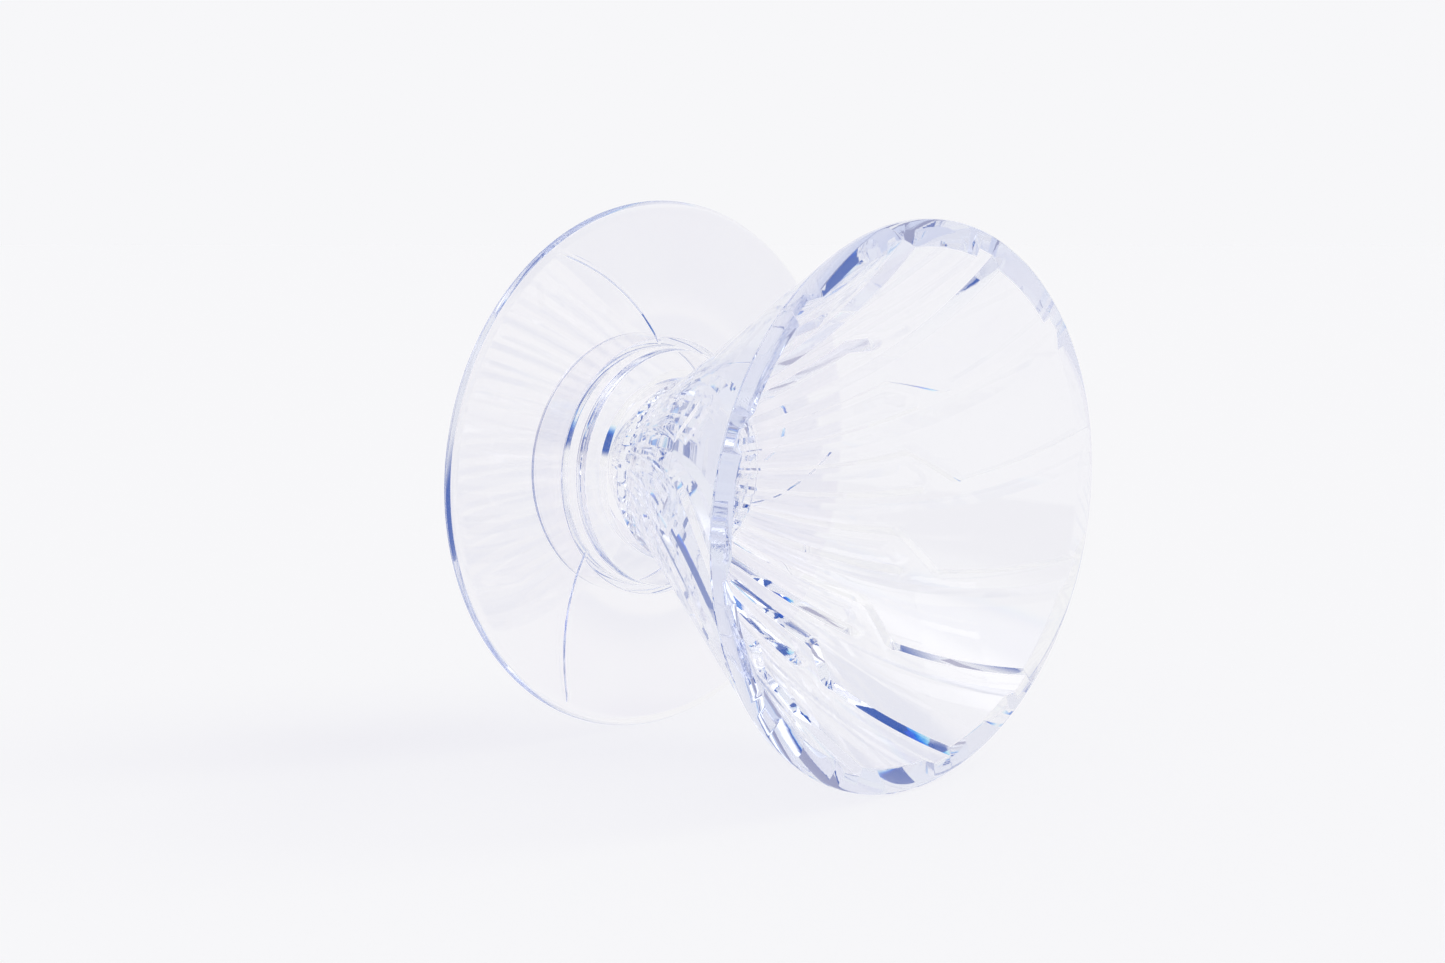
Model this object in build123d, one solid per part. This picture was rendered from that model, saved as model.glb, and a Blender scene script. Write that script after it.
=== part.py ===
from build123d import *
import os
from math import cos, radians, sin, tan

os.makedirs("parts", exist_ok=True)

# Clear plastic pour over dripper in two mouldings: a swirl-ribbed cone whose round neck
# plugs into the collar of a wide base.  Millimetres, +Z up the cone's axis.
# The origin is the centre of the flange's flat underside, which rests on the server.

# ---- driving dimensions --------------------------------------------------------------
RIM_Z = 78.0            # top of the cone above the flange's underside
RIM_R = 58.0            # outside of the rim
CONE_SLOPE = 29.8       # outside wall, degrees from the axis
WALL_R = 3.7            # wall between the ribs, measured along the radius
BORE_SLOPE = 30.0       # inside wall, degrees from the axis (a 60 degree paper filter)

SECTORS = 12            # wide ribs round the rim
RIB_TOP_H = 1.9         # rib height off the wall at the rim, along the radius
RIB_LOW_H = 1.4         # rib height at the flange's level
SWIRL_START = 8.8       # azimuth of one wide rib's steep side at the rim, degrees
SWIRL_RATE = 0.65       # degrees turned per mm below the rim
SWIRL_EASE = 0.003      # how fast the turning dies away towards the outlet
WIDE_END_Z = 55.0       # the wide ribs start to narrow here
NARROW_Z = 45.0         # and are down to narrow ribs here
SHORT_TOP_Z = 46.5      # top of the short ribs that start between them
SHORT_FULL_Z = 43.0     # where a short rib has its full width
WIDE_SPAN = 21.0        # flat of a wide rib, degrees
NARROW_SPAN = 6.0       # flat of a narrow rib, degrees
RAMP_SPAN = 4.0         # gentle side of every rib, degrees
STEEP_SPAN = 0.4        # steep side of a wide rib, degrees
SLANT_STEEP_SPAN = 3.2  # the same side where the wide rib narrows
LOW_STEEP_SPAN = 2.2    # steep side of a narrow rib
CAVITY_LEVELS = (79, 73, 67, 61, 55, 53, 50, 48.5, 46.5, 45, 43, 37, 31, 25, 19, 13, 7, 2, -0.5)

NECK_R = 20.35          # outside of the neck that plugs into the base
NECK_WALL = 2.0
OUTLET_R = 9.3          # hole the coffee runs out of
TIP_Z = -2.5            # bottom of the outlet

FLANGE_R = 59.7         # base flange
FLANGE_EDGE_H = 0.4     # upright land at the flange's edge
BEVEL_R, BEVEL_Z = 57.35, 1.73      # top of the edge bevel
COLLAR_R = 26.8
COLLAR_FOOT_Z = 3.0     # flange top where it meets the collar
COLLAR_TOP_Z = 6.0
SOCKET_R = NECK_R + 0.05            # running clearance round the neck
LEDGE_Z = 0.6           # the neck stands on this ledge
LEDGE_R = 15.5          # hole in the ledge that the outlet passes
SKIRT_R = 29.0          # locates in the server's mouth
SKIRT_WALL = 1.8
SKIRT_Z = -10.0
UNDER_Z = -1.2          # underside within the skirt

BEADS = 3               # swirl lines on the flange
BEAD_START = 57.0       # azimuth of one line's outer end, degrees
BEAD_TURN = 0.92        # degrees turned per mm of radius
BEAD_W, BEAD_H = 1.1, 0.4
BEAD_IN_R, BEAD_OUT_R = 28.6, 57.0


def outer_r(z):
    """Radius of the cone's smooth outside at height z."""
    return RIM_R - tan(radians(CONE_SLOPE)) * (RIM_Z - z)


def bore_r(z):
    """Radius of the cone's inside wall, between the ribs, at height z."""
    return RIM_R - WALL_R - tan(radians(BORE_SLOPE)) * (RIM_Z - z)


def rib_h(z):
    return RIB_LOW_H + (RIB_TOP_H - RIB_LOW_H) * z / RIM_Z


def swirl(z):
    """Azimuth the rib pattern has at height z, in degrees."""
    drop = RIM_Z - z
    return SWIRL_START - SWIRL_RATE * drop + SWIRL_EASE * drop * drop


def blend(z, z_from, z_to):
    """0 above z_from, 1 below z_to."""
    return min(1.0, max(0.0, (z_from - z) / (z_from - z_to)))


def at(r, azimuth, z=0.0):
    return (r * cos(radians(azimuth)), r * sin(radians(azimuth)), z)


def steep_span(z):
    """Degrees taken by the steep side of a wide rib: thin, then wide on the slant, then less."""
    on_slant = blend(z, WIDE_END_Z + 0.5, WIDE_END_Z - 2)
    below = blend(z, NARROW_Z, SHORT_FULL_Z)
    return STEEP_SPAN + (SLANT_STEEP_SPAN - STEEP_SPAN) * on_slant + (LOW_STEEP_SPAN - SLANT_STEEP_SPAN) * below


def sector_outline(z, start):
    """Edges of one sector of the cavity's level slice: a short rib, then a wide one."""
    wall_r, height = bore_r(z), rib_h(z)
    narrowing = blend(z, WIDE_END_Z, NARROW_Z)
    steep = steep_span(z)
    wide_left = (WIDE_SPAN - NARROW_SPAN) * narrowing
    groove = WIDE_SPAN + RAMP_SPAN - 360 / SECTORS
    if z < SHORT_TOP_Z + 2:
        short_right = 0.6 + (NARROW_SPAN - 0.6) * blend(z, SHORT_TOP_Z, SHORT_FULL_Z)
        short = (-LOW_STEEP_SPAN, 0.0, short_right, short_right + RAMP_SPAN)
    else:
        # no short rib yet: its four corners wait on the plain wall beside the wide rib
        room = wide_left - steep - groove
        short = [groove + room * share for share in (0.4, 0.55, 0.7, 0.85)]
    short_r = wall_r - height * (z <= SHORT_TOP_Z)
    corners = [
        (wall_r, short[0]),
        (short_r, short[1]),
        (short_r, short[2]),
        (wall_r, short[3]),
        (wall_r, wide_left - steep),
        (wall_r - height, wide_left),
        (wall_r - height, WIDE_SPAN),
        (wall_r, WIDE_SPAN + RAMP_SPAN),
        (wall_r, short[0] + 360 / SECTORS),
    ]
    edges = []
    for (r0, a0), (r1, a1) in zip(corners, corners[1:]):
        a0, a1 = a0 + start, a1 + start
        if r0 == r1:
            edges.append(ThreePointArc(at(r0, a0, z), at(r0, (a0 + a1) / 2, z), at(r1, a1, z)))
        else:
            edges.append(Line(at(r0, a0, z), at(r1, a1, z)))
    return edges


def cavity_slice(z):
    edges = []
    for k in range(SECTORS):
        edges += sector_outline(z, swirl(z) + k * 360 / SECTORS)
    return Face(Wire(edges))


def make_cavity():
    """The space inside the cone, with the swirling ribs standing into it."""
    return loft([cavity_slice(z) for z in CAVITY_LEVELS], ruled=True)


def make_cone():
    neck_in_r = NECK_R - NECK_WALL
    slope = tan(radians(CONE_SLOPE))
    neck_top_z = RIM_Z - (RIM_R - NECK_R) / slope
    gap_top_z = RIM_Z - (RIM_R - neck_in_r) / slope
    rim_break = 0.3
    with BuildPart() as cone:
        with BuildSketch(Plane.XZ):
            with BuildLine():
                Polyline(
                    (0, TIP_Z),
                    (outer_r(TIP_Z) - 0.5, TIP_Z),
                    (outer_r(TIP_Z), TIP_Z + 0.5),
                    (outer_r(gap_top_z), gap_top_z),
                    (neck_in_r, LEDGE_Z),
                    (NECK_R - 0.3, LEDGE_Z),
                    (NECK_R, LEDGE_Z + 0.3),
                    (NECK_R, neck_top_z),
                    (outer_r(RIM_Z - rim_break), RIM_Z - rim_break),
                    (outer_r(RIM_Z - rim_break) - 0.15, RIM_Z),
                    (0, RIM_Z),
                    close=True,
                )
            make_face()
        revolve(axis=Axis.Z)
    outlet = Pos(0, 0, TIP_Z - 1) * Cylinder(OUTLET_R, 12, align=(Align.CENTER, Align.CENTER, Align.MIN))
    return cone.part - make_cavity() - outlet


def flange_top(r):
    """Height of the flange's gently dished top at radius r."""
    return BEVEL_Z + (COLLAR_FOOT_Z - BEVEL_Z) * (BEVEL_R - r) / (BEVEL_R - COLLAR_R)


def swirl_bead():
    """One raised swirl line, following the flange's top."""
    radii = [BEAD_IN_R + (BEAD_OUT_R - BEAD_IN_R) * k / 8 for k in range(9)]

    def edge(side):
        points = []
        for r in radii:
            a = BEAD_START - BEAD_TURN * (BEAD_OUT_R - r)
            # step across the line, square to its own direction
            heading = radians(BEAD_TURN) * r
            across = side * BEAD_W / 2 / (1 + heading * heading) ** 0.5
            x, y, _ = at(1, a)
            points.append((r * x - across * (y + heading * x), r * y + across * (x - heading * y)))
        return points

    near, far = edge(-1), edge(1)
    with BuildPart() as bead:
        with BuildSketch():
            with BuildLine():
                Spline(*near)
                Line(near[-1], far[-1])
                Spline(*far[::-1])
                Line(far[0], near[0])
            make_face()
        extrude(amount=COLLAR_TOP_Z)
        with BuildSketch(Plane.XZ):
            low, high = BEAD_IN_R - 2, BEAD_OUT_R + 2
            with BuildLine():
                Polyline(
                    (low, flange_top(low) - 0.6),
                    (high, flange_top(high) - 0.6),
                    (high, flange_top(high) + BEAD_H),
                    (low, flange_top(low) + BEAD_H),
                    close=True,
                )
            make_face()
        revolve(axis=Axis.Z, mode=Mode.INTERSECT)
    return bead.part


def make_base():
    skirt_in_r = SKIRT_R - SKIRT_WALL
    edge_break = 0.5
    with BuildPart() as base:
        with BuildSketch(Plane.XZ):
            with BuildLine():
                bevel = ThreePointArc(
                    (FLANGE_R, FLANGE_EDGE_H),
                    (FLANGE_R - 0.78, 1.24),
                    (BEVEL_R, BEVEL_Z),
                )
                Polyline(
                    (BEVEL_R, BEVEL_Z),
                    (COLLAR_R, COLLAR_FOOT_Z),
                    (COLLAR_R, COLLAR_TOP_Z - 0.3),
                    (COLLAR_R - 0.3, COLLAR_TOP_Z),
                    (SOCKET_R + 0.4, COLLAR_TOP_Z),
                    (SOCKET_R, COLLAR_TOP_Z - 0.4),
                    (SOCKET_R, LEDGE_Z),
                    (LEDGE_R, LEDGE_Z),
                    (LEDGE_R, UNDER_Z),
                    (skirt_in_r, UNDER_Z),
                    (skirt_in_r, SKIRT_Z + edge_break),
                    (skirt_in_r + edge_break, SKIRT_Z),
                    (SKIRT_R - edge_break, SKIRT_Z),
                    (SKIRT_R, SKIRT_Z + edge_break),
                    (SKIRT_R, 0),
                    (FLANGE_R, 0),
                    (FLANGE_R, FLANGE_EDGE_H),
                )
            make_face()
        revolve(axis=Axis.Z)
    bead = swirl_bead()
    return base.part.fuse(*[Rot(0, 0, k * 360 / BEADS) * bead for k in range(BEADS)])


PARTS = {"cone": make_cone, "base": make_base}
for name, make in PARTS.items():
    solid = make()
    export_step(solid, f"parts/{name}.step")
    box = solid.bounding_box()
    print(name, len(solid.solids()), "solid", round(solid.volume / 1000, 1), "cm3", box.min, box.max)
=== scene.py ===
import math

import bpy
from mathutils import Matrix, Vector


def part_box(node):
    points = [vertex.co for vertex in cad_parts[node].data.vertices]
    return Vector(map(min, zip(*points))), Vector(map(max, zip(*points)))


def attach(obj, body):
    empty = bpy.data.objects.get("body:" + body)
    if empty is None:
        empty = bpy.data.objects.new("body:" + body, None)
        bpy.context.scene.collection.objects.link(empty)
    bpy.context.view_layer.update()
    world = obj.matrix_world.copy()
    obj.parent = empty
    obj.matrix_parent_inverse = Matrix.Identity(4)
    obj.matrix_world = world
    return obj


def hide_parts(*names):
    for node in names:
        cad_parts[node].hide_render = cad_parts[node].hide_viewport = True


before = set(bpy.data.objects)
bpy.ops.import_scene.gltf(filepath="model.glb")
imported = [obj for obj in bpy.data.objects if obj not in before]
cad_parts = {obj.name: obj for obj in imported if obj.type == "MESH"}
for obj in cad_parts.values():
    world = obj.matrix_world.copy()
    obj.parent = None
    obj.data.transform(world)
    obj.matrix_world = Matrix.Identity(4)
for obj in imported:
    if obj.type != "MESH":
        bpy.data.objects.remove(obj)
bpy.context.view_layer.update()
SCENE = bpy.context.scene

# ---- sizes, in metres: heights from the frame, the others repeat the CAD's dimensions -----
MM = 0.001
cone_low, cone_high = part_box("cone")
base_low, base_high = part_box("base")
RIM_Z = cone_high.z
RIM_R = 58.0 * MM
TIP_Z = cone_low.z
FLANGE_R = 59.7 * MM
COLLAR_TOP_Z = base_high.z
SKIRT_Z = base_low.z

OUTER_SLOPE = math.tan(math.radians(29.8))
BORE_SLOPE = math.tan(math.radians(30.0))
WALL_R = 3.7 * MM
RIB_TOP_H, RIB_LOW_H = 1.9 * MM, 1.4 * MM
OUTLET_R = 9.3 * MM
NECK_R, NECK_WALL = 20.35 * MM, 2.0 * MM
LEDGE_Z = 0.6 * MM

# the swirling ribs, angles in degrees
SECTORS = 12
SWIRL_START, SWIRL_RATE, SWIRL_EASE = 8.8, 0.65, 0.003
WIDE_END_Z, NARROW_Z = 55 * MM, 45 * MM
SHORT_TOP_Z, SHORT_FULL_Z = 46.5 * MM, 43 * MM
WIDE_SPAN, NARROW_SPAN, RAMP_SPAN = 21.0, 6.0, 4.0
STEEP_SPAN, SLANT_STEEP_SPAN, LOW_STEEP_SPAN = 0.4, 3.2, 2.2


def sine(degrees):
    return math.sin(math.radians(degrees))


def blend(value, start, end):
    """0 at start, 1 at end, straight between and held beyond."""
    return min(1.0, max(0.0, (start - value) / (start - end)))


def outer_r(z):
    """Radius of the cone's smooth outside at height z."""
    return RIM_R - OUTER_SLOPE * (RIM_Z - z)


def bore_r(z):
    """Radius of the cone's inside wall, between the ribs, at height z."""
    return RIM_R - WALL_R - BORE_SLOPE * (RIM_Z - z)


def rib_h(z):
    """How far a rib stands off the wall at height z, along the radius."""
    return RIB_LOW_H + (RIB_TOP_H - RIB_LOW_H) * z / RIM_Z


def swirl(z):
    """Azimuth the rib pattern has at height z, in degrees."""
    drop = (RIM_Z - z) / MM
    return SWIRL_START - SWIRL_RATE * drop + SWIRL_EASE * drop * drop


def steep_span(z):
    """Degrees taken by the steep side of a wide rib: thin, then wide on the slant, then less."""
    on_slant = blend(z, WIDE_END_Z + 0.5 * MM, WIDE_END_Z - 2 * MM)
    below = blend(z, NARROW_Z, SHORT_FULL_Z)
    to_slant = (SLANT_STEEP_SPAN - STEEP_SPAN) * on_slant
    to_low = (LOW_STEEP_SPAN - SLANT_STEEP_SPAN) * below
    return STEEP_SPAN + to_slant + to_low


def sector_corners(z):
    """(radius, azimuth) of the nine corners of one sector's level slice, short rib first."""
    wall_r, height = bore_r(z), rib_h(z)
    wide_left = (WIDE_SPAN - NARROW_SPAN) * blend(z, WIDE_END_Z, NARROW_Z)
    steep = steep_span(z)
    groove = WIDE_SPAN + RAMP_SPAN - 360 / SECTORS
    # above a short rib its four corners wait on the plain wall beside the wide rib
    rise = blend(z, SHORT_TOP_Z + 2 * MM, SHORT_TOP_Z)
    settled = blend(z, SHORT_TOP_Z + 4 * MM, SHORT_TOP_Z + 2 * MM)
    short_right = 0.6 + (NARROW_SPAN - 0.6) * blend(z, SHORT_TOP_Z, SHORT_FULL_Z)
    room = wide_left - steep - groove
    parked = [groove + room * share for share in (0.4, 0.55, 0.7, 0.85)]
    short = (-LOW_STEEP_SPAN, 0.0, short_right, short_right + RAMP_SPAN)
    a = [p + (s - p) * settled for p, s in zip(parked, short)]
    short_r = wall_r - height * rise
    return [
        (wall_r, a[0]), (short_r, a[1]), (short_r, a[2]), (wall_r, a[3]),
        (wall_r, wide_left - steep), (wall_r - height, wide_left),
        (wall_r - height, WIDE_SPAN), (wall_r, WIDE_SPAN + RAMP_SPAN),
        (wall_r, a[0] + 360 / SECTORS),
    ]


SIDE_STEPS = (2, 5, 2, 5, 3, 24, 4, 7)      # mesh columns on each side of a sector's slice


def cavity_ring(z):
    """(radius, azimuth) of every point round the inside of the cone at height z."""
    turn = swirl(max(z, 0))
    corners = sector_corners(max(z, -0.5 * MM))
    ring = []
    for k in range(SECTORS):
        for side, ((r0, a0), (r1, a1)) in enumerate(zip(corners, corners[1:])):
            for step in range(SIDE_STEPS[side]):
                share = step / SIDE_STEPS[side]
                r = r0 + (r1 - r0) * share
                a = turn + k * 360 / SECTORS + a0 + (a1 - a0) * share
                ring.append((max(r, OUTLET_R), a))
    return ring


def rounded(points, radius, steps=4):
    """A profile of (r, z) corners with each inner corner rounded to its radius."""
    out = [points[0]]
    for before, corner, after in zip(points, points[1:], points[2:]):
        p, c, n = Vector(before), Vector(corner), Vector(after)
        u, v = (p - c).normalized(), (n - c).normalized()
        half = math.acos(max(-1.0, min(1.0, u.dot(v)))) / 2
        reach = min(radius / math.tan(half), (p - c).length * 0.45, (n - c).length * 0.45)
        for k in range(steps + 1):
            t = k / steps
            q = (c + u * reach) * (1 - t) ** 2 + c * 2 * t * (1 - t) + (c + v * reach) * t * t
            out.append((q.x, q.y))
    out.append(points[-1])
    return out


def split_long(points, longest, where=lambda r, z: True):
    """The same profile with its long straights divided, if both ends are in the given place."""
    out = [points[0]]
    for a, b in zip(points, points[1:]):
        n = max(1, math.ceil(math.dist(a, b) / longest)) if where(*a) and where(*b) else 1
        out += [(a[0] + (b[0] - a[0]) * k / n, a[1] + (b[1] - a[1]) * k / n) for k in range(1, n + 1)]
    return out


SHARP_ANGLE = math.radians(25)       # moulded edges that turn more than this are crisp


def mesh_from_rings(name, rings):
    """A mesh from rings of points; each ring, and the stack of rings, closes on itself."""
    count = len(rings[0])
    verts = [p for ring in rings for p in ring]
    faces = []
    for i in range(len(rings)):
        a, b = i * count, ((i + 1) % len(rings)) * count
        for j in range(count):
            k = (j + 1) % count
            faces.append((a + j, a + k, b + k, b + j))
    mesh = bpy.data.meshes.new(name)
    mesh.from_pydata(verts, [], faces)
    mesh.validate()
    mesh.shade_smooth()
    mesh.set_sharp_from_angle(angle=SHARP_ANGLE)
    obj = bpy.data.objects.new(name, mesh)
    SCENE.collection.objects.link(obj)
    return obj


def at(r, azimuth, z):
    return (r * math.cos(math.radians(azimuth)), r * math.sin(math.radians(azimuth)), z)


LEVEL_STEP, FINE_STEP = 0.85 * MM, 0.5 * MM     # between the cavity's levels; fine where ribs narrow
NECK_STEP = 0.8 * MM                            # between the rings of the neck
CONE_ROUND, BASE_ROUND = 0.35 * MM, 0.45 * MM   # radii of the moulded edges
RIM_EDGE = 0.15 * MM                            # break between the rim and the cavity


def build_cone():
    """The cone as one skin: down the ribbed cavity, through the outlet and up the outside."""
    neck_in_r = NECK_R - NECK_WALL
    neck_top_z = RIM_Z - (RIM_R - NECK_R) / OUTER_SLOPE
    gap_top_z = RIM_Z - (RIM_R - neck_in_r) / OUTER_SLOPE
    levels = []
    z = RIM_Z - 0.12 * MM
    while z > TIP_Z + 0.4 * MM:
        levels.append(z)
        fine = SHORT_FULL_Z - 1 * MM < z < WIDE_END_Z + 1 * MM
        z -= FINE_STEP if fine else LEVEL_STEP
    exact = (0.05 * MM, WIDE_END_Z, NARROW_Z, SHORT_TOP_Z, SHORT_FULL_Z)
    levels = sorted({*levels, *exact}, reverse=True)
    rings = [[at(r, a, level) for r, a in cavity_ring(level)] for level in levels]
    # from the outlet's lower edge, round the outside and over the rim, back to the cavity
    outside = rounded([
        (OUTLET_R, levels[-1]),
        (OUTLET_R, TIP_Z),
        (outer_r(TIP_Z), TIP_Z),
        (outer_r(gap_top_z), gap_top_z),
        (neck_in_r, LEDGE_Z),
        (NECK_R, LEDGE_Z),
        (NECK_R, neck_top_z),
        (outer_r(RIM_Z) - 0.05 * MM, RIM_Z),
        (RIM_R - WALL_R * 0.9, RIM_Z),
    ], CONE_ROUND)
    # the columns turn from the outlet's azimuths to the rim's within the neck, in small steps
    outside = split_long(outside, NECK_STEP, lambda r, z: r > OUTLET_R and z < neck_top_z + 0.1 * MM)
    low_angles = [a for r, a in cavity_ring(levels[-1])]
    rim_angles = [a for r, a in cavity_ring(RIM_Z)]
    for r, z in outside[1:-1]:
        share = blend(z, TIP_Z, neck_top_z) if r > OUTLET_R + 1 * MM else 0.0
        rings.append([at(r, lo + (hi - lo) * share, z) for lo, hi in zip(low_angles, rim_angles)])
    # flat rim, ending in a small radius at the cavity's edge
    cavity_edge = cavity_ring(RIM_Z)
    rings.append([at(r + RIM_EDGE, a, RIM_Z) for r, a in cavity_edge])
    rings.append([at(r + RIM_EDGE * 0.3, a, RIM_Z - RIM_EDGE * 0.3) for r, a in cavity_edge])
    return mesh_from_rings("clear_cone", rings)


BEVEL_R, BEVEL_Z = 57.35 * MM, 1.73 * MM
COLLAR_R, COLLAR_FOOT_Z = 26.8 * MM, 3.0 * MM
SOCKET_R = NECK_R + 0.05 * MM
LEDGE_R = 15.5 * MM
SKIRT_R, SKIRT_WALL = 29.0 * MM, 1.8 * MM
UNDER_Z = -1.2 * MM

# the swirl lines on the flange, raised beads with sloping sides and short tapered ends
BEADS, BEAD_START, BEAD_TURN = 3, 57.0, 0.92
BEAD_W, BEAD_H, BEAD_SIDE = 1.1 * MM, 0.4 * MM, 0.2 * MM
BEAD_IN_R, BEAD_OUT_R, BEAD_TAPER = 28.6 * MM, 57.0 * MM, 0.6 * MM

# mesh columns of the base, in degrees: their spacing, and closer ones within reach of a swirl line
COLUMN_STEP, CLOSE_STEP, CLOSE_REACH = 0.4, 0.1, 1.6
DISH_STEP = 1.5 * MM                            # between the rings of the flange's top


def base_columns():
    """(azimuth, angle off the nearest swirl line) of each mesh column of the base, in degrees."""
    sector = 360 / BEADS
    offsets = [k * COLUMN_STEP for k in range(int(sector / COLUMN_STEP))]
    offsets = [a for a in offsets if CLOSE_REACH < a < sector - CLOSE_REACH]
    count = round(CLOSE_REACH / CLOSE_STEP)
    offsets = sorted(offsets + [k * CLOSE_STEP for k in range(-count, count + 1)])
    return [(BEAD_START + k * sector + a, abs(a)) for k in range(BEADS) for a in offsets]


def build_base():
    """The base as one skin; its columns follow the swirl lines, so the lines lie along them."""
    skirt_in_r = SKIRT_R - SKIRT_WALL
    profile = rounded([
        (SKIRT_R + 6 * MM, 0),
        (FLANGE_R, 0),
        (FLANGE_R, 0.4 * MM),
        (FLANGE_R - 0.78 * MM, 1.24 * MM),
        (BEVEL_R, BEVEL_Z),
        (COLLAR_R, COLLAR_FOOT_Z),
        (COLLAR_R, COLLAR_TOP_Z),
        (SOCKET_R, COLLAR_TOP_Z),
        (SOCKET_R, LEDGE_Z),
        (LEDGE_R, LEDGE_Z),
        (LEDGE_R, UNDER_Z),
        (skirt_in_r, UNDER_Z),
        (skirt_in_r, SKIRT_Z),
        (SKIRT_R, SKIRT_Z),
        (SKIRT_R, 0),
        (SKIRT_R + 5.9 * MM, 0),
    ], BASE_ROUND)
    profile = split_long(profile, DISH_STEP, lambda r, z: r > COLLAR_R and z > 1.2 * MM)
    columns = base_columns()
    rings = []
    for r, z in profile:
        turn = -BEAD_TURN * (BEAD_OUT_R - min(max(r, BEAD_IN_R), BEAD_OUT_R)) / MM
        on_top = z > 1.0 * MM and BEAD_IN_R <= r <= BEAD_OUT_R
        from_end = min(r - BEAD_IN_R, BEAD_OUT_R - r)
        fade = min(1.0, from_end / BEAD_TAPER) if on_top else 0.0
        lean = math.hypot(1, math.radians(BEAD_TURN) * r / MM)
        ring = []
        for a, off in columns:
            off_line = math.radians(off) * r / lean
            crown = min(1.0, max(0.0, (BEAD_W / 2 - off_line) / BEAD_SIDE))
            ring.append(at(r, a + turn, z + BEAD_H * fade * crown))
        rings.append(ring)
    return mesh_from_rings("clear_base", rings)


# ---- node helpers -------------------------------------------------------------------------
def new_material(name):
    mat = bpy.data.materials.new(name)
    mat.use_nodes = True
    mat.node_tree.nodes.clear()
    return mat, mat.node_tree


def feed(tree, socket, value):
    """Give a socket either another node's output or a plain value."""
    if isinstance(value, bpy.types.NodeSocket):
        tree.links.new(value, socket)
    else:
        socket.default_value = value


def maths(tree, operation, a, b=0.0):
    node = tree.nodes.new("ShaderNodeMath")
    node.operation = operation
    feed(tree, node.inputs[0], a)
    feed(tree, node.inputs[1], b)
    return node.outputs[0]


def smooth(tree, value, start, end):
    """0 before start, 1 after end, with a soft turn between."""
    node = tree.nodes.new("ShaderNodeMapRange")
    node.interpolation_type = "SMOOTHSTEP"
    feed(tree, node.inputs["Value"], value)
    node.inputs["From Min"].default_value = start
    node.inputs["From Max"].default_value = end
    return node.outputs["Result"]


def mix_colors(tree, share, a, b):
    node = tree.nodes.new("ShaderNodeMix")
    node.data_type = "RGBA"
    feed(tree, node.inputs["Factor"], share)
    feed(tree, node.inputs["A"], a)
    feed(tree, node.inputs["B"], b)
    return node.outputs["Result"]


def mix_shaders(tree, share, a, b):
    node = tree.nodes.new("ShaderNodeMixShader")
    feed(tree, node.inputs["Fac"], share)
    tree.links.new(a, node.inputs[1])
    tree.links.new(b, node.inputs[2])
    return node.outputs[0]


def see_through(tree, color):
    node = tree.nodes.new("ShaderNodeBsdfTransparent")
    node.inputs["Color"].default_value = color
    return node.outputs[0]


def turned(tree, vector, source, target):
    """A direction taken from one space to another."""
    node = tree.nodes.new("ShaderNodeVectorTransform")
    node.vector_type, node.convert_from, node.convert_to = "VECTOR", source, target
    feed(tree, node.inputs[0], vector)
    return node.outputs[0]


def parts_of(tree, vector):
    node = tree.nodes.new("ShaderNodeSeparateXYZ")
    tree.links.new(vector, node.inputs[0])
    return node.outputs


# ---- materials ----------------------------------------------------------------------------
REFRACTIVE_INDEX = 1.55             # chosen; what the plastic is isn't known
TINT_PER_M = (2.8, 2.3, 0.8)        # how fast the plastic takes out red, green and blue
DRIFT_SCALE = 45.0                  # of the noise that the tint follows
DRIFT_RANGE = (1.15, 0.85)          # strongest and weakest tint, as shares of the plain one
BOUNCE_PASSES = (0.992, 0.991, 0.995, 1)        # what a face lets through of light off the floor
SHADOW_PASSES = (0.950, 0.945, 0.968, 1)        # and of a ray toward the lamp


def clear_plastic(name, most_turns, face_tint):
    """Clear moulded plastic, faintly lavender where the light has a long way through it.

    A ray that has been bent or reflected more than most_turns times goes straight on from
    there.  This is not how plastic behaves: it keeps thick corners from rendering black.
    """
    mat, tree = new_material(name)
    nodes, link = tree.nodes, tree.links.new
    out = nodes.new("ShaderNodeOutputMaterial")
    body = nodes.new("ShaderNodeBsdfPrincipled")
    body.inputs["Roughness"].default_value = 0.0
    body.inputs["IOR"].default_value = REFRACTIVE_INDEX
    body.inputs["Transmission Weight"].default_value = 1.0

    # the tint drifts slightly from place to place
    place = nodes.new("ShaderNodeTexCoord")
    drift = nodes.new("ShaderNodeTexNoise")
    drift.inputs["Scale"].default_value = DRIFT_SCALE
    drift.inputs["Detail"].default_value = 2.0
    link(place.outputs["Object"], drift.inputs["Vector"])
    share = smooth(tree, drift.outputs["Fac"], 0.35, 0.65)
    shades = [(*(1 - loss * amount for loss in face_tint), 1) for amount in DRIFT_RANGE]
    link(mix_colors(tree, share, *shades), body.inputs["Base Color"])

    # late rays go straight on
    path = nodes.new("ShaderNodeLightPath")
    is_late = maths(tree, "GREATER_THAN", path.outputs["Ray Depth"], most_turns)
    late = mix_shaders(tree, is_late, body.outputs[0], see_through(tree, (1, 1, 1, 1)))
    surface = body.outputs[0]
    for ray in ("Is Transmission Ray", "Is Glossy Ray"):
        surface = mix_shaders(tree, path.outputs[ray], surface, late)
    # light bounced off the floor and shadows pass with a faint tint
    for ray, color in (("Is Diffuse Ray", BOUNCE_PASSES), ("Is Shadow Ray", SHADOW_PASSES)):
        surface = mix_shaders(tree, path.outputs[ray], surface, see_through(tree, color))
    link(surface, out.inputs["Surface"])

    depth_tint = nodes.new("ShaderNodeVolumeAbsorption")
    density = max(TINT_PER_M) * 1.2
    depth_tint.inputs["Color"].default_value = (*(1 - loss / density for loss in TINT_PER_M), 1)
    depth_tint.inputs["Density"].default_value = density
    link(depth_tint.outputs[0], out.inputs["Volume"])
    return mat


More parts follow.
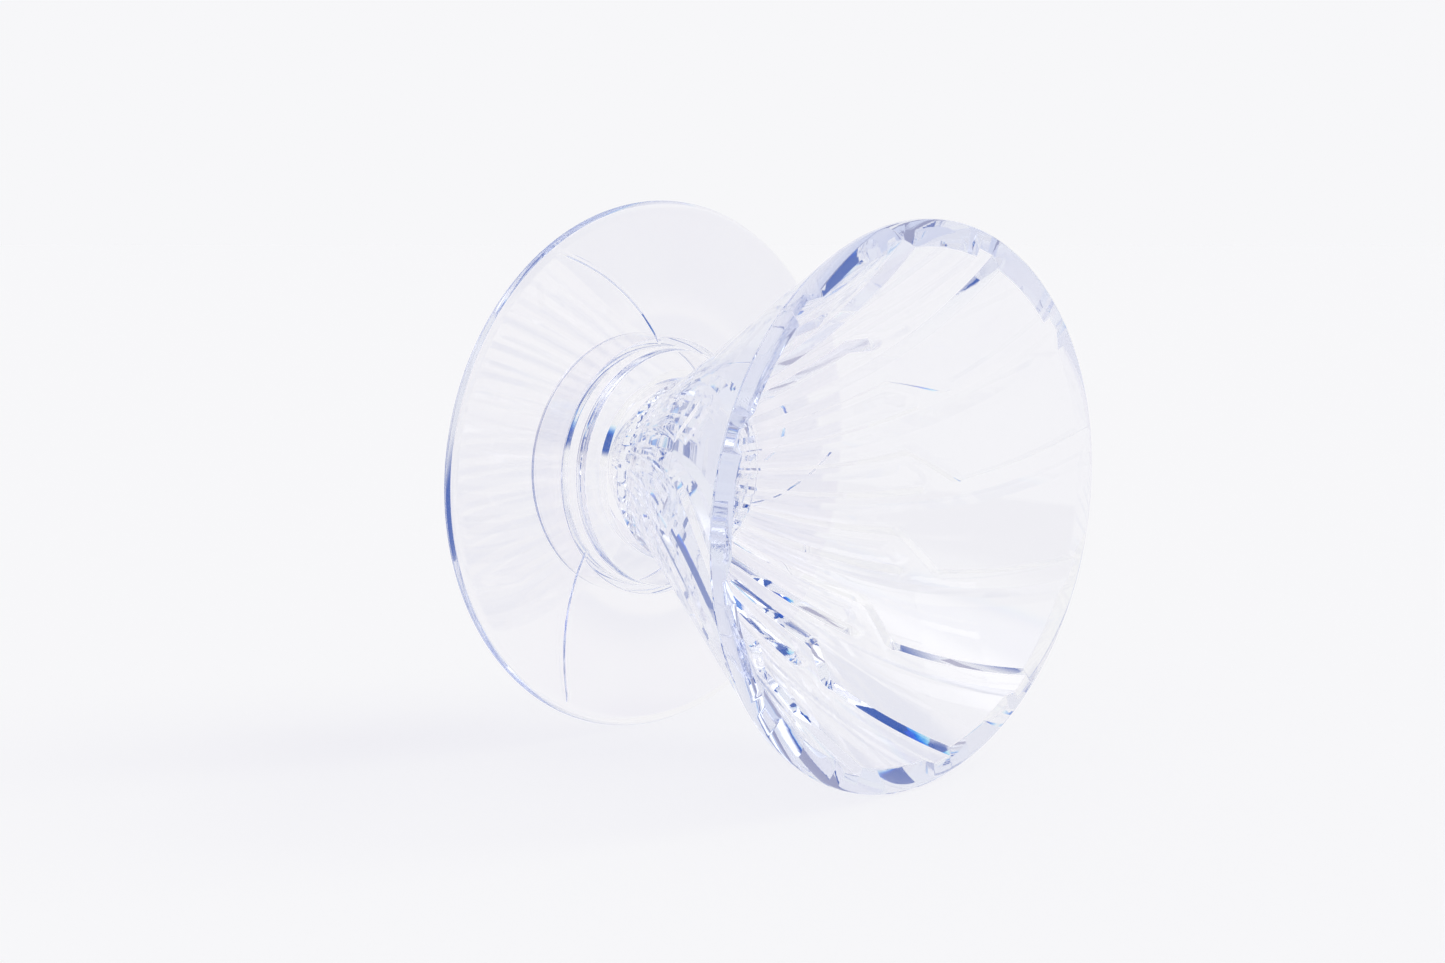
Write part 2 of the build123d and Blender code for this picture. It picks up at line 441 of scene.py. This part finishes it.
# ---- stage --------------------------------------------------------------------------------
BACKDROP = (0.930, 0.930, 0.947, 1)        # the pale backdrop, linear light
SKY_SHARE = 0.82                           # of the floor's light; the rest is the lamp's
FLOOR_COLOR = 0.985
FLOOR_END = 0.36                           # about 21 degrees: bent rays going further right miss it
FLOOR_LEAN = 0.6                           # a floor shows if camera's up . its normal is over this
FLOOR_GAP = 0.2 * MM                       # under the dripper
LAMP_ANGLE = math.radians(22)
LAMP_TRIM = 0.93                           # by trial: the lying floor comes out like the backdrop


def floor_material(name, normal):
    """Pale matt floor that is there only for a camera whose own up is near its normal."""
    mat, tree = new_material(name)
    nodes, link = tree.nodes, tree.links.new
    out = nodes.new("ShaderNodeOutputMaterial")
    matt = nodes.new("ShaderNodeBsdfDiffuse")
    matt.inputs["Color"].default_value = (FLOOR_COLOR, FLOOR_COLOR, FLOOR_COLOR, 1)
    dot = nodes.new("ShaderNodeVectorMath")
    dot.operation = "DOT_PRODUCT"
    dot.inputs[1].default_value = normal
    link(turned(tree, (0, 1, 0), "CAMERA", "WORLD"), dot.inputs[0])
    upright = maths(tree, "GREATER_THAN", dot.outputs["Value"], FLOOR_LEAN)
    geometry = nodes.new("ShaderNodeNewGeometry")
    front = maths(tree, "SUBTRACT", 1.0, geometry.outputs["Backfacing"])
    # not how a floor behaves: rays that the plastic has bent to the right pass through it, so
    # that they reach the dark end of the studio
    back_across = parts_of(tree, turned(tree, geometry.outputs["Incoming"], "WORLD", "CAMERA"))[0]
    bent = maths(tree, "LESS_THAN", back_across, -FLOOR_END)
    path = nodes.new("ShaderNodeLightPath")
    over = maths(tree, "MULTIPLY", bent, path.outputs["Is Transmission Ray"])
    there = maths(tree, "MULTIPLY", front, maths(tree, "SUBTRACT", 1.0, over))
    share = maths(tree, "MULTIPLY", upright, there)
    floor = mix_shaders(tree, share, see_through(tree, (1, 1, 1, 1)), matt.outputs[0])
    link(floor, out.inputs["Surface"])
    return mat


def add_floor(name, point, normal, half=6.0):
    normal = Vector(normal).normalized()
    side = normal.orthogonal().normalized() * half
    other = normal.cross(side)
    corners = [point - side - other, point + side - other, point + side + other, point - side + other]
    mesh = bpy.data.meshes.new(name)
    mesh.from_pydata(corners, [], [(0, 1, 2, 3)])
    obj = bpy.data.objects.new(name, mesh)
    SCENE.collection.objects.link(obj)
    obj.data.materials.append(floor_material(name, normal))
    return obj


# each piece's body, the turns a ray may make in it, and the share of each color lost at a face
PIECES = (
    (build_cone(), "cone", 6, (0.016, 0.020, 0.008)),
    (build_base(), "base", 30, (0.022, 0.030, 0.014)),
)
for piece, body, most_turns, face_tint in PIECES:
    piece.data.materials.append(clear_plastic(f"clear_{body}_plastic", most_turns, face_tint))
    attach(piece, body)
    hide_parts(body)

# the dripper lies on its rim and flange, touching the floor along this azimuth
REST_AZIMUTH = math.radians(85.7)
out_dir = Vector((math.cos(REST_AZIMUTH), math.sin(REST_AZIMUTH), 0))
rim_touch = out_dir * outer_r(RIM_Z) + Vector((0, 0, RIM_Z))
flange_touch = out_dir * FLANGE_R
along = (rim_touch - flange_touch).normalized()
lying_normal = along.cross(out_dir.cross(Vector((0, 0, 1))))
if lying_normal.dot(out_dir) > 0:
    lying_normal.negate()
add_floor("floor_lying", flange_touch - lying_normal * FLOOR_GAP, lying_normal)
# and this one is under the skirt, for a camera that sees the dripper standing up
add_floor("floor_upright", Vector((0, 0, SKIRT_Z - FLOOR_GAP)), (0, 0, 1))

# ---- camera, at the photograph's viewing angle, solved from the rim and flange circles -----
camera_data = bpy.data.cameras.new("camera")
camera_data.lens, camera_data.sensor_width = 50.0, 36.0
camera_data.clip_start = 0.01
camera = bpy.data.objects.new("camera", camera_data)
SCENE.collection.objects.link(camera)
eye = Vector((0.29748, -0.08807, 0.33475))
look = Vector((-0.67391, 0.20198, -0.71067)).normalized()
right = Vector((-0.71951, 0.03906, 0.69339)).normalized()
up = right.cross(look)
camera.matrix_world = Matrix((
    (right.x, up.x, -look.x, eye.x),
    (right.y, up.y, -look.y, eye.y),
    (right.z, up.z, -look.z, eye.z),
    (0, 0, 0, 1),
))
SCENE.camera = camera

# ---- studio: its places and levels were found by trial in the view above -------------------
SWEEP_LEVEL = 0.93                         # the pale sweep, in every color
DARK_BLUE = (0.05, 0.13, 0.46)             # red, green and blue of the studio's dark parts
PRISM_SHIFT = (0.0, 1.0, 3.0)              # degrees by which each color's edge is moved


def studio_world():
    """A pale sweep with a dark ceiling, soft boxes and a dim room, all fixed to the camera."""
    world = bpy.data.worlds.new("studio")
    world.use_nodes = True
    tree = world.node_tree
    tree.nodes.clear()
    nodes, link = tree.nodes, tree.links.new
    place = nodes.new("ShaderNodeTexCoord")
    # right, up and forward of the camera
    across, up, ahead = parts_of(tree, turned(tree, place.outputs["Generated"], "WORLD", "CAMERA"))
    left = maths(tree, "MULTIPLY", across, -1.0)
    behind = maths(tree, "MULTIPLY", ahead, -1.0)

    def region(*limits):
        """The product of soft steps, each (value, start, end)."""
        share = smooth(tree, *limits[0])
        for limit in limits[1:]:
            share = maths(tree, "MULTIPLY", share, smooth(tree, *limit))
        return share

    # in turn: ceiling ahead, wall on the left, corner over the camera's left shoulder, and end
    # low on the right; at most of their edges red goes dark first and blue last, as in a prism
    channels = nodes.new("ShaderNodeCombineColor")
    for socket, dark_level, late in zip(channels.inputs, DARK_BLUE, PRISM_SHIFT):
        darks = (
            ((up, sine(42 + late), sine(46 + late)), (ahead, 0.0, 0.2), (across, 0.6, 0.42),
             (across, 0.04, 0.12), (up, sine(78), sine(70))),
            ((left, sine(48 + late), sine(56 + late)), (up, sine(8), sine(14)), (up, sine(60), sine(52))),
            ((up, sine(36 + late), sine(42 + late)), (left, 0.10, 0.20), (behind, 0.0, 0.12)),
            ((across, 0.38 + late / 50, 0.50 + late / 50), (up, sine(-7), sine(-11))),
        )
        dark = region(*darks[0])
        for limits in darks[1:]:
            dark = maths(tree, "MAXIMUM", dark, region(*limits))
        level = maths(tree, "MULTIPLY", dark, dark_level - SWEEP_LEVEL)
        feed(tree, socket, maths(tree, "ADD", level, SWEEP_LEVEL))

    side_box = (1.25, 1.25, 1.27, 1)
    top_box = (1.85, 1.85, 1.87, 1)
    room = (0.50, 0.49, 0.60, 1)
    boxes = (
        (region((across, 0.45, 0.6), (up, sine(22), sine(30)), (up, sine(68), sine(60))), side_box),
        (region((behind, 0.25, 0.6), (up, sine(-14), sine(-6)), (up, sine(32), sine(18))), room),
        (region((behind, 0.15, 0.3), (up, sine(36), sine(42)), (left, 0.2, 0.1)), top_box),
    )
    color = channels.outputs[0]
    for share, light in boxes:
        color = mix_colors(tree, share, color, light)

    # plain even light for the floor, and the plain sweep for the camera itself
    path = nodes.new("ShaderNodeLightPath")
    color = mix_colors(tree, path.outputs["Is Camera Ray"], color, BACKDROP)
    sky = tuple(level * SKY_SHARE / FLOOR_COLOR for level in BACKDROP[:3])
    color = mix_colors(tree, path.outputs["Is Diffuse Ray"], color, (*sky, 1))
    background = nodes.new("ShaderNodeBackground")
    link(color, background.inputs["Color"])
    out = nodes.new("ShaderNodeOutputWorld")
    link(background.outputs[0], out.inputs["Surface"])
    return world


def add_lamp(direction, slant):
    """A broad soft sun that adds to the sky's light on a floor; slant is sun . floor normal."""
    lamp = bpy.data.lights.new("soft_sun", "SUN")
    lamp.angle = LAMP_ANGLE
    lamp.color = BACKDROP[:3]
    lamp.energy = math.pi * (1 - SKY_SHARE) / slant / FLOOR_COLOR * LAMP_TRIM
    obj = bpy.data.objects.new("soft_sun", lamp)
    obj.rotation_euler = direction.to_track_quat("Z", "Y").to_euler()
    obj.visible_camera = False
    obj.visible_glossy = False
    obj.visible_transmission = False
    SCENE.collection.objects.link(obj)


SCENE.world = studio_world()
sun_from = (right * 0.8 + up * 0.6).normalized()
add_lamp(sun_from, sun_from.dot(lying_normal))

# light needs many bounces to find its way out of the thick clear walls
BOUNCES = 40
SCENE.cycles.max_bounces = BOUNCES
SCENE.cycles.transmission_bounces = BOUNCES
SCENE.cycles.glossy_bounces = BOUNCES
SCENE.cycles.transparent_max_bounces = BOUNCES

SCENE.view_settings.view_transform = "Standard"
SCENE.view_settings.look = "None"
